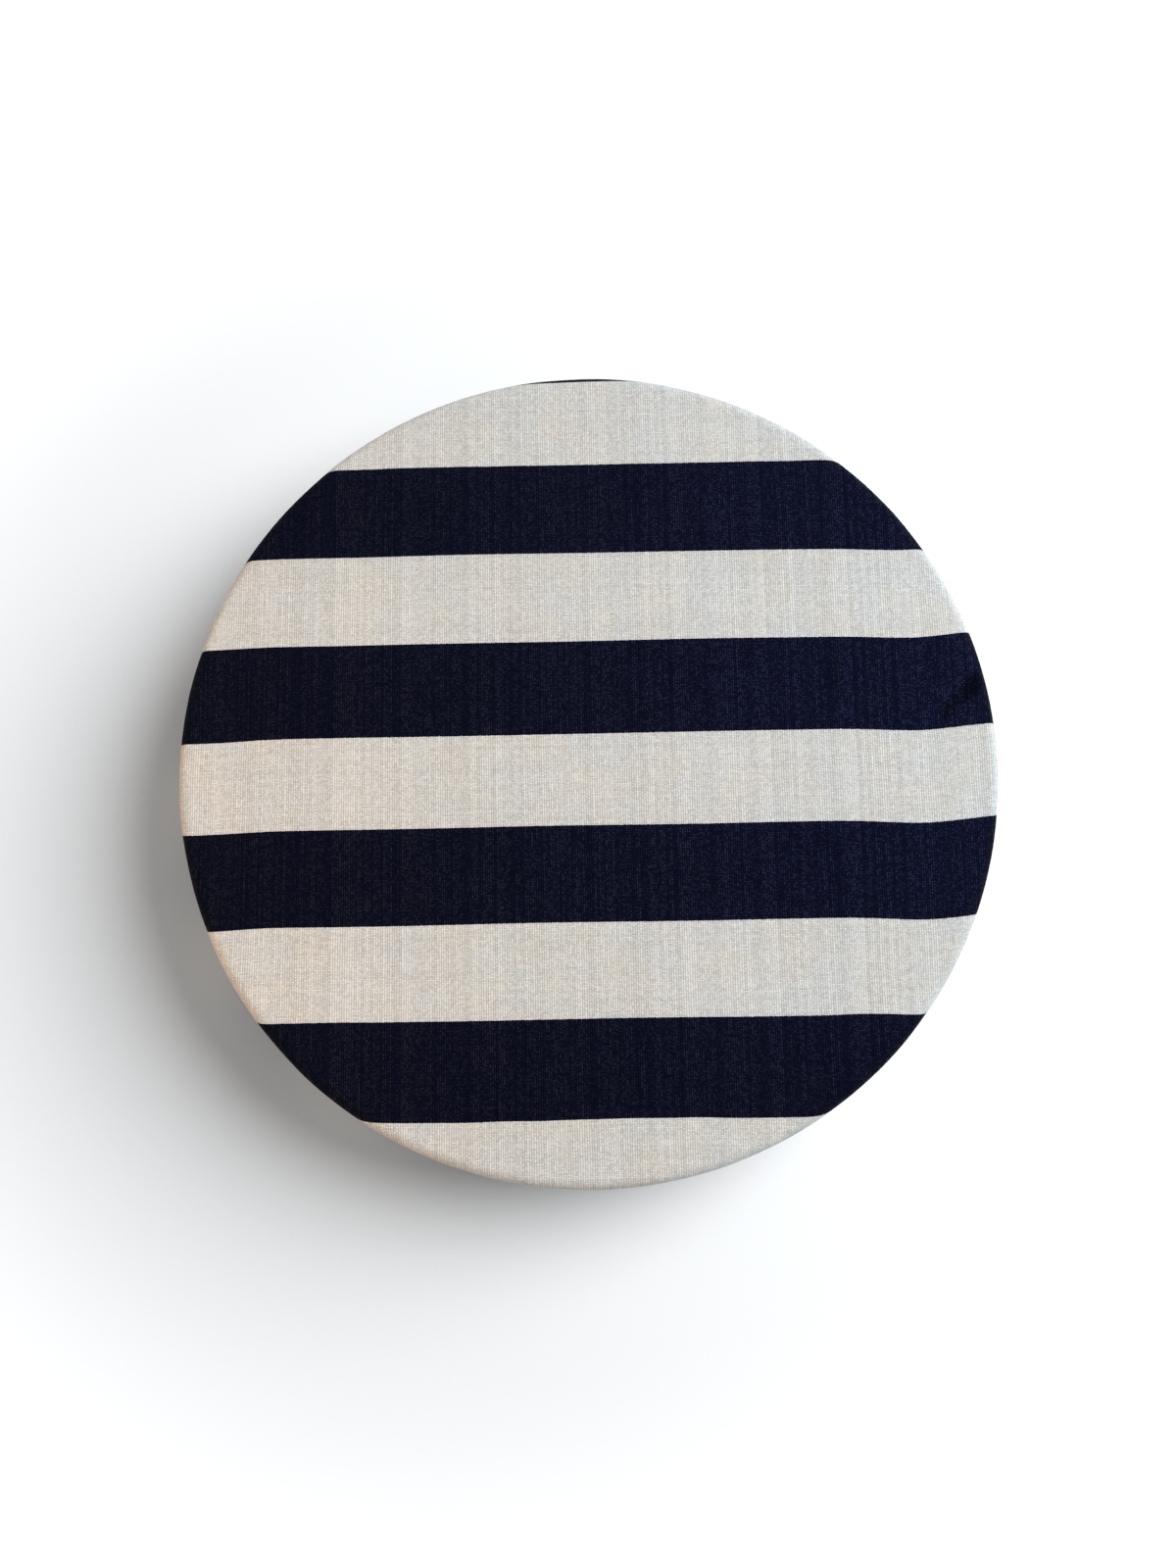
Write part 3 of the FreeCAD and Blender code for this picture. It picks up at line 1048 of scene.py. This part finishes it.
def mottle_group(name):
    """Slow uneven light and dark over a surface, about 1."""
    group = Group(name, {"Place": "Vector", "Scale": "Float", "Amount": "Float"}, {"Tone": "Float"})
    given = group.given
    broad = group.noise(given["Place"], given["Scale"], 4.0, 0.6)
    group.give(tone=(broad - 0.5) * given["Amount"] + 1.0)
    return group.tree


def fibre_group(name):
    """Fine strands lying every way, from two crossed stretched noises."""
    group = Group(name, {"Place": "Vector", "Scale": "Float", "Stretch": "Float"}, {"Fibre": "Float"})
    given = group.given
    x, y, z = group.tone(given["Place"], given["Scale"]).axes()
    one_way = group.noise(group.vector((x + y) / given["Stretch"], x - y, z))
    other_way = group.noise(group.vector(x + y, (x - y) / given["Stretch"], z))
    group.give(fibre=one_way.math("MAXIMUM", other_way))
    return group.tree


def bond_group(name):
    """Rows of small oval embossed points, each row set half a pitch over."""
    group = Group(name, {"Cloth": "Vector", "Pitch": "Float"}, {"Bond": "Float"})
    x, y, _ = group.given["Cloth"].axes()
    row = y / group.given["Pitch"]
    column = x / group.given["Pitch"] + row.math("FLOOR").math("PINGPONG", 1.0) * 0.5
    part_x, part_y = column.math("FRACT") - 0.5, row.math("FRACT") - 0.5
    group.give(bond=group.vector(part_x, part_y * 1.6).size().ramp(0.20, 0.34, 1.0, 0.0))
    return group.tree


GROUP_MAKERS = {
    "Plain weave": weave_group,
    "Broad stripes": stripe_group,
    "Uneven tone": mottle_group,
    "Matted fibre": fibre_group,
    "Bond points": bond_group,
}


# ---------------------------------------------------------------- materials


def new_material(name, **finish):
    """A material with one Principled shader; gives it, its nodes and the shader's sockets.

    finish gives the shader's plain settings, each named with _ for a space.
    """
    material = bpy.data.materials.new(name)
    material.use_nodes = True
    principled = next(node for node in material.node_tree.nodes if node.type == "BSDF_PRINCIPLED")
    nodes = Nodes(material.node_tree)
    for key, value in finish.items():
        nodes.put(principled.inputs[key.replace("_", " ")], value)
    return material, nodes, principled.inputs


def object_place(nodes):
    """Places in metres from the piece's own origin."""
    return nodes.node("ShaderNodeTexCoord", output="Object")


def dress(nodes, surface, colour, roughness, relief, depth, strength=1.0):
    """Joins the varying parts of a finish: colour, roughness and a relief of some depth."""
    nodes.put(surface["Base Color"], colour)
    nodes.put(surface["Roughness"], roughness)
    inputs = {"Height": relief, "Distance": depth, "Strength": strength}
    nodes.put(surface["Normal"], nodes.node("ShaderNodeBump", inputs))


def uneven_tone(nodes, place, scale, amount):
    """Slow light and dark about 1, to multiply a colour by."""
    return nodes.group("Uneven tone", {"Place": place, "Scale": scale, "Amount": amount})["Tone"]


def canvas_material(settings):
    """Heavy plain-weave cotton in navy and off-white stripes, with a faint blue gloss, painted shade
    between the threads and a painted highlight on the navy's thread crests.
    """
    material, nodes, surface = new_material(
        "striped_canvas",
        Specular_IOR_Level=0.07,
        Specular_Tint=(0.22, 0.32, 1.0),
        Sheen_Weight=0.005,
        Sheen_Roughness=0.25,
        Sheen_Tint=(0.15, 0.25, 1.0),
    )
    cloth = nodes.node("ShaderNodeUVMap", uv_map="cloth")
    pitches = {"Across pitch": settings.across_pitch, "Along pitch": settings.along_pitch}
    weave = nodes.group("Plain weave", {"Cloth": cloth, "Wander": 0.5, **pitches})
    bands = nodes.group(
        "Broad stripes",
        {
            "Cloth": cloth,
            "Width": settings.stripe_width,
            "Dark share": settings.dark_share,
            "Edge": settings.stripe_edge,
            "Ragged": 0.35 * MM,
        },
    )
    top = weave["Across on top"]
    across = weave["Across shade"] * 0.25 * top
    along = weave["Along shade"] * 0.14 * (1.0 - top)
    crossing = (weave["Crossing shade"] - 0.5) * 0.26
    # Painted shade: the tone drops where the threads dip, in the gaps between crossings and in the
    # furrows between threads.
    gap = weave["Height"].ramp(0.15, 0.85, 0.70, 1.05) * weave["Ridge"].ramp(0.10, 0.85, 0.78, 1.05)
    light = (across + along + (crossing + 1.0)) * gap * uneven_tone(nodes, cloth, 28.0, 0.08)
    hue = nodes.noise(cloth, 45.0, 3.0).ramp(0.35, 0.65)
    white = nodes.tone(nodes.blend(hue, settings.white, settings.white_aged), light)
    white = nodes.blend(bands["Border"] * 0.22, white, settings.border)
    # Painted highlight: the navy is made lighter on the crests of its threads, where they stand
    # highest; the same crests also get a lower roughness.
    crest = weave["Crossing shade"] ** 2.0 * 0.92 + 0.08
    crest = crest * weave["Height"].ramp(0.45, 1.0, 0.15, 1.0)
    crest = crest * (weave["Across shade"] * 0.9 + 0.75).clamped() * weave["Ridge"]
    # The navy takes the tone squared, so its painted shade between the threads is deeper.
    navy = nodes.blend(crest, nodes.tone(settings.navy, light * light), settings.navy_crest_highlight)
    # The press mark darkens the colour there as painted shade of its dent, and raises the roughness.
    pressed = press_mark(nodes, cloth)
    dress(
        nodes,
        surface,
        colour=nodes.tone(nodes.blend(bands["Dark"], white, navy), pressed * -0.6 + 1.0),
        roughness=(pressed * 0.5 + crest.ramp(0.0, 0.5, 0.85, 0.40)).clamped(),
        relief=nodes.noise(cloth, 2600.0) * 0.22 + weave["Height"],
        depth=0.16 * MM,
        strength=0.85,
    )
    return material


def press_mark(nodes, cloth):
    """A mask of the press mark's flattened nap and of its faint trail; in the colour it is painted
    shade of the dent.
    """
    turn = math.radians(MARK_TURN)
    x, y, _ = cloth.vector("SUBTRACT", (*MARK_PLACE, 0.0)).axes()
    along = x * math.cos(turn) + y * math.sin(turn)
    across = x * -math.sin(turn) + y * math.cos(turn)
    spot = nodes.vector(along / (8.0 * MM), across / (4.2 * MM)).size()
    along, across = along - TRAIL_PLACE[0], across - TRAIL_PLACE[1]
    trail = nodes.vector(along / (9.0 * MM), across / (3.6 * MM)).size()
    return spot.ramp(0.25, 1.1, 1.0, 0.0).math("MAXIMUM", trail.ramp(0.1, 1.1, 0.45, 0.0))


def wadding_material(settings):
    """Bonded polyester fibre: white, matted, with fine crossing strands."""
    material, nodes, surface = new_material("wadding", Specular_IOR_Level=0.25, Sheen_Weight=0.3)
    place = object_place(nodes)
    fibre = nodes.group("Matted fibre", {"Place": place, "Scale": 900.0, "Stretch": 5.0})["Fibre"]
    light = uneven_tone(nodes, place, 60.0, 0.16) * fibre.ramp(0.3, 0.7, 0.86, 1.05)
    colour = nodes.tone(settings.wadding, light)
    dress(nodes, surface, colour, fibre.ramp(0.3, 0.7, 0.95, 0.80), fibre, 0.4 * MM, 0.7)
    return material


def foam_material(settings):
    """Open-cell foam: small round cells, a little darker towards the cut rim."""
    material, nodes, surface = new_material("foam", Specular_IOR_Level=0.2)
    place = object_place(nodes)
    cell = nodes.cells(place, 1100.0) * 0.7 + nodes.cells(place, 420.0) * 0.3
    out = place.vector("MULTIPLY", (1.0, 1.0, 0.0)).size()
    light = uneven_tone(nodes, place, 35.0, 0.12) * cell.ramp(0.1, 0.6, 0.72, 1.04)
    light = light * out.ramp(0.9 * CORE_RADIUS, CORE_RADIUS, 1.0, 0.90)
    colour = nodes.tone(settings.foam, light)
    dress(nodes, surface, colour, cell.ramp(0.1, 0.6, 0.95, 0.82), cell, 0.5 * MM, 0.8)
    return material


def plywood_material(settings):
    """Birch plywood: crossing grain from ply to ply, pale faces and darker end grain between."""
    material, nodes, surface = new_material("plywood")
    place = object_place(nodes)

    def stretched(factors, *detail):
        return nodes.noise(place.vector("MULTIPLY", factors), 1.0, *detail)

    ply = (place.axes()[2] - board_low.z) / ((board_high.z - board_low.z) / settings.plies)
    crossed = ply.math("FLOOR").math("PINGPONG", 1.0)
    lengthwise = stretched((9.0, 260.0, 90.0), 5.0, 0.62)
    crosswise = stretched((260.0, 9.0, 90.0), 5.0, 0.62)
    grain = nodes.blend(crossed, lengthwise, crosswise)
    rings = (stretched((3.0, 22.0, 22.0)) * 9.0).math("PINGPONG", 1.0)
    facing_up = nodes.node("ShaderNodeNewGeometry", output="Normal").axes()[2].math("ABSOLUTE")
    by_side = facing_up.ramp(0.3, 0.8, crossed * -0.35 + 1.0, 1.0)
    light = (grain * 0.30 + (rings * 0.10 + 0.78)) * by_side
    colour = nodes.tone(settings.wood, light)
    dress(nodes, surface, colour, grain.ramp(0.3, 0.7, 0.62, 0.48), grain, 0.08 * MM, 0.6)
    return material


def steel_material(settings, name, scratch):
    """Zinc-plated steel: bright, spangled, dulled in patches and finely scratched."""
    material, nodes, surface = new_material(name, Metallic=1.0)
    place = object_place(nodes)
    spangle = nodes.cells(place, 1400.0, output="Color").axes()[0]
    streaks = nodes.noise(place.vector("MULTIPLY", scratch), 1.0, 3.0, 0.6)
    light = spangle * 0.10 + uneven_tone(nodes, place, 320.0, 0.35) * 0.92
    colour = nodes.tone(settings.steel, light)
    dress(nodes, surface, colour, streaks.ramp(0.3, 0.7, 0.26, 0.46), streaks, 0.02 * MM, 0.5)
    return material


def dust_cover_material(settings):
    """Black spunbond cloth: matted fibres with rows of small embossed bonds."""
    material, nodes, surface = new_material("dust_cover_fabric", Specular_IOR_Level=0.3)
    cloth = nodes.node("ShaderNodeUVMap", uv_map="cloth")
    bond = nodes.group("Bond points", {"Cloth": cloth, "Pitch": 1.5 * MM})["Bond"]
    strands = nodes.group("Matted fibre", {"Place": cloth, "Scale": 1200.0, "Stretch": 6.0})
    fibre = strands["Fibre"].ramp(0.35, 0.72)
    light = uneven_tone(nodes, cloth, 70.0, 0.5) * (fibre * 1.3 + 0.55) * (bond * -0.35 + 1.0)
    colour = nodes.tone(settings.dust_cover, light)
    dress(nodes, surface, colour, bond * -0.28 + 0.78, fibre * 0.5 - bond, 0.10 * MM, 0.8)
    return material


def floor_material(settings):
    """Pale floor that glows faintly away from the seat, so that it stays white to its far edges."""
    material, nodes, surface = new_material(
        "studio_floor", Emission_Strength=1.0, Roughness=0.9, Specular_IOR_Level=0.0
    )
    place = object_place(nodes)
    away = place.size() / SEAT_RADIUS
    near_glow = away.ramp(1.4, 2.6, 0.0, settings.floor_glow)
    glow = near_glow + away.ramp(3.0, 12.0, 0.0, settings.floor_glow)
    nodes.put(surface["Base Color"], nodes.tone(settings.floor, uneven_tone(nodes, place, 1.5, 0.01)))
    nodes.put(surface["Emission Color"], nodes.tone((1.0, 1.0, 1.0), glow))
    return material


# ---------------------------------------------------------------- stage


def area_light(name, place, size, watts, tint):
    """A round soft light that points at the middle of the seat's top."""
    data = bpy.data.lights.new(name, "AREA")
    data.shape = "DISK"
    data.size = size
    data.energy = watts
    data.color = tint
    lamp = bpy.data.objects.new(name, data)
    bpy.context.scene.collection.objects.link(lamp)
    lamp.location = place
    towards = Vector((0.0, 0.0, SEAT_TOP)) - Vector(place)
    lamp.rotation_euler = towards.to_track_quat("-Z", "Y").to_euler()
    return lamp


def make_lights(settings):
    """The key lights everything, the fill only the seat, and two more are seen only as gloss."""
    cool, warm = (0.94, 0.97, 1.0), (1.0, 0.52, 0.22)
    blue, yellow = (0.15, 0.33, 1.0), (1.0, 0.72, 0.22)
    area_light("key", (1.35, 0.55, 1.25), 1.5, settings.key_power, cool)
    gloss = area_light("gloss", (0.72, 0.38, 1.25), 0.7, settings.gloss_power, blue)
    veil = area_light("veil", (0.02, 0.16, 1.0), 0.4, settings.veil_power, yellow)
    fill = area_light("fill", (-0.50, -0.15, 0.45), 0.3, settings.fill_power, warm)
    for lamp in (gloss, veil):
        lamp.visible_diffuse = False
    for lamp in (veil, fill):
        lamp.light_linking.receiver_collection = seat_collection()


def make_world(settings):
    """Even light all round that is white where the camera sees it."""
    world = bpy.data.worlds.new("studio")
    world.use_nodes = True
    background = world.node_tree.nodes["Background"].inputs
    nodes = Nodes(world.node_tree)
    seen = nodes.node("ShaderNodeLightPath", output="Is Camera Ray")
    nodes.put(background["Color"], (1.0, 0.99, 0.975))
    nodes.put(background["Strength"], seen.ramp(0.0, 1.0, settings.ambient, 1.0))
    bpy.context.scene.world = world


def make_floor(settings):
    """A floor 12 m square, a hair below the seat so that the two faces never coincide."""
    half = 6.0
    corners = [(-half, -half, 0), (half, -half, 0), (half, half, 0), (-half, half, 0)]
    floor = object_from("studio_floor", corners, [(0, 1, 2, 3)])
    floor.location.z = -0.05 * MM
    floor.data.materials.append(floor_material(settings))


def make_camera(settings):
    """The camera, placed by its distance and angles from the point that it looks at."""
    data = bpy.data.cameras.new("camera")
    data.lens = settings.lens
    data.sensor_width = 36.0
    data.clip_start = 0.01
    data.clip_end = 50.0
    camera = bpy.data.objects.new("camera", data)
    bpy.context.scene.collection.objects.link(camera)
    rise, bearing = math.sin(settings.elevation), settings.bearing
    level = math.cos(settings.elevation)
    back = Vector((level * math.sin(bearing), -level * math.cos(bearing), rise))
    target = Vector((0.0, -settings.aim_forward, SEAT_TOP - 0.5 * MM))
    picture_up = Vector((math.sin(settings.roll), math.cos(settings.roll), 0.0))
    right = (-back).cross(picture_up).normalized()
    turn = Matrix((right, back.cross(right), back)).transposed().to_4x4()
    camera.matrix_world = Matrix.Translation(target + back * settings.distance) @ turn
    bpy.context.scene.camera = camera


# ---------------------------------------------------------------- operators


class SEAT_OT_stage(bpy.types.Operator):
    """Make the floor, the lights and the camera"""

    bl_idname = "seat.stage"
    bl_label = "Stage"

    def execute(self, context):
        settings = context.scene.seat_stage
        make_floor(settings)
        make_world(settings)
        make_lights(settings)
        make_camera(settings)
        context.scene.view_settings.view_transform = "Standard"
        context.scene.view_settings.look = "None"
        return {"FINISHED"}


class SEAT_OT_canvas_cover(bpy.types.Operator):
    """Make the striped canvas cover, pulled over the padding and pleated under the edge"""

    bl_idname = "seat.canvas_cover"
    bl_label = "Canvas cover"

    def execute(self, context):
        settings = context.scene.seat_canvas
        cover = make_cover(settings)
        thicken(cover, settings.thickness, offset=-1.0)
        finish_piece(cover, canvas_material(settings), "canvas_cover")
        return {"FINISHED"}


class SEAT_OT_wadding(bpy.types.Operator):
    """Make the layer of polyester wadding between the canvas and the foam"""

    bl_idname = "seat.wadding"
    bl_label = "Wadding"

    def execute(self, context):
        settings = context.scene.seat_padding
        layer = make_wadding(settings, context.scene.seat_canvas)
        finish_piece(layer, wadding_material(settings), "wadding")
        return {"FINISHED"}


class SEAT_OT_foam(bpy.types.Operator):
    """Make the foam disc that lies on the base board"""

    bl_idname = "seat.foam"
    bl_label = "Foam"

    def execute(self, context):
        settings = context.scene.seat_padding
        block = make_foam(settings)
        finish_piece(block, foam_material(settings), "foam_pad")
        return {"FINISHED"}


class SEAT_OT_base_board(bpy.types.Operator):
    """Give the base board its birch plywood finish and the T-nuts their zinc-plated steel"""

    bl_idname = "seat.base_board"
    bl_label = "Base board and T-nuts"

    def execute(self, context):
        settings = context.scene.seat_underside
        finish_node("base_board", plywood_material(settings))
        zinc = steel_material(settings, "zinc_plated_steel", (700.0, 700.0, 90.0))
        for node in NUT_NODES:
            finish_node(node, zinc)
        return {"FINISHED"}


class SEAT_OT_dust_cover(bpy.types.Operator):
    """Make the black non-woven cloth that covers the underside"""

    bl_idname = "seat.dust_cover"
    bl_label = "Dust cover"

    def execute(self, context):
        settings = context.scene.seat_underside
        sheet = make_dust_cover(settings)
        thicken(sheet, settings.thickness, offset=0.0)
        finish_piece(sheet, dust_cover_material(settings), "dust_cover")
        return {"FINISHED"}


class SEAT_OT_staples(bpy.types.Operator):
    """Drive the staples that hold the canvas and the dust cover"""

    bl_idname = "seat.staples"
    bl_label = "Staples"

    def execute(self, context):
        settings = context.scene.seat_underside
        wires = staple_group()
        metal = steel_material(settings, "staple_wire", (900.0, 900.0, 120.0))
        for node in ("cover_staples", "dust_cover_staples"):
            staples = make_staples(settings, wires, node, metal)
            finish_piece(staples, metal, node)
        return {"FINISHED"}


STEPS = [
    SEAT_OT_stage,
    SEAT_OT_canvas_cover,
    SEAT_OT_wadding,
    SEAT_OT_foam,
    SEAT_OT_base_board,
    SEAT_OT_dust_cover,
    SEAT_OT_staples,
]


class SEAT_PT_panel(bpy.types.Panel):
    """Buttons for every piece of the seat, in the order they are made"""

    bl_label = "Round seat cushion"
    bl_idname = "SEAT_PT_panel"
    bl_space_type = "VIEW_3D"
    bl_region_type = "UI"
    bl_category = "Seat"

    def draw(self, context):
        for step in STEPS:
            self.layout.operator(step.bl_idname)


SETTINGS = {
    "seat_canvas": CanvasSettings,
    "seat_padding": PaddingSettings,
    "seat_underside": UndersideSettings,
    "seat_stage": StageSettings,
}


def register():
    for group in SETTINGS.values():
        bpy.utils.register_class(group)
    for step in STEPS:
        bpy.utils.register_class(step)
    bpy.utils.register_class(SEAT_PT_panel)
    for name, group in SETTINGS.items():
        setattr(bpy.types.Scene, name, bpy.props.PointerProperty(type=group))


def unregister():
    for name in SETTINGS:
        delattr(bpy.types.Scene, name)
    bpy.utils.unregister_class(SEAT_PT_panel)
    for step in reversed(STEPS):
        bpy.utils.unregister_class(step)
    for group in reversed(list(SETTINGS.values())):
        bpy.utils.unregister_class(group)


def main():
    register()
    for step in STEPS:
        area, name = step.bl_idname.split(".")
        getattr(getattr(bpy.ops, area), name)()


if __name__ == "__main__":
    main()
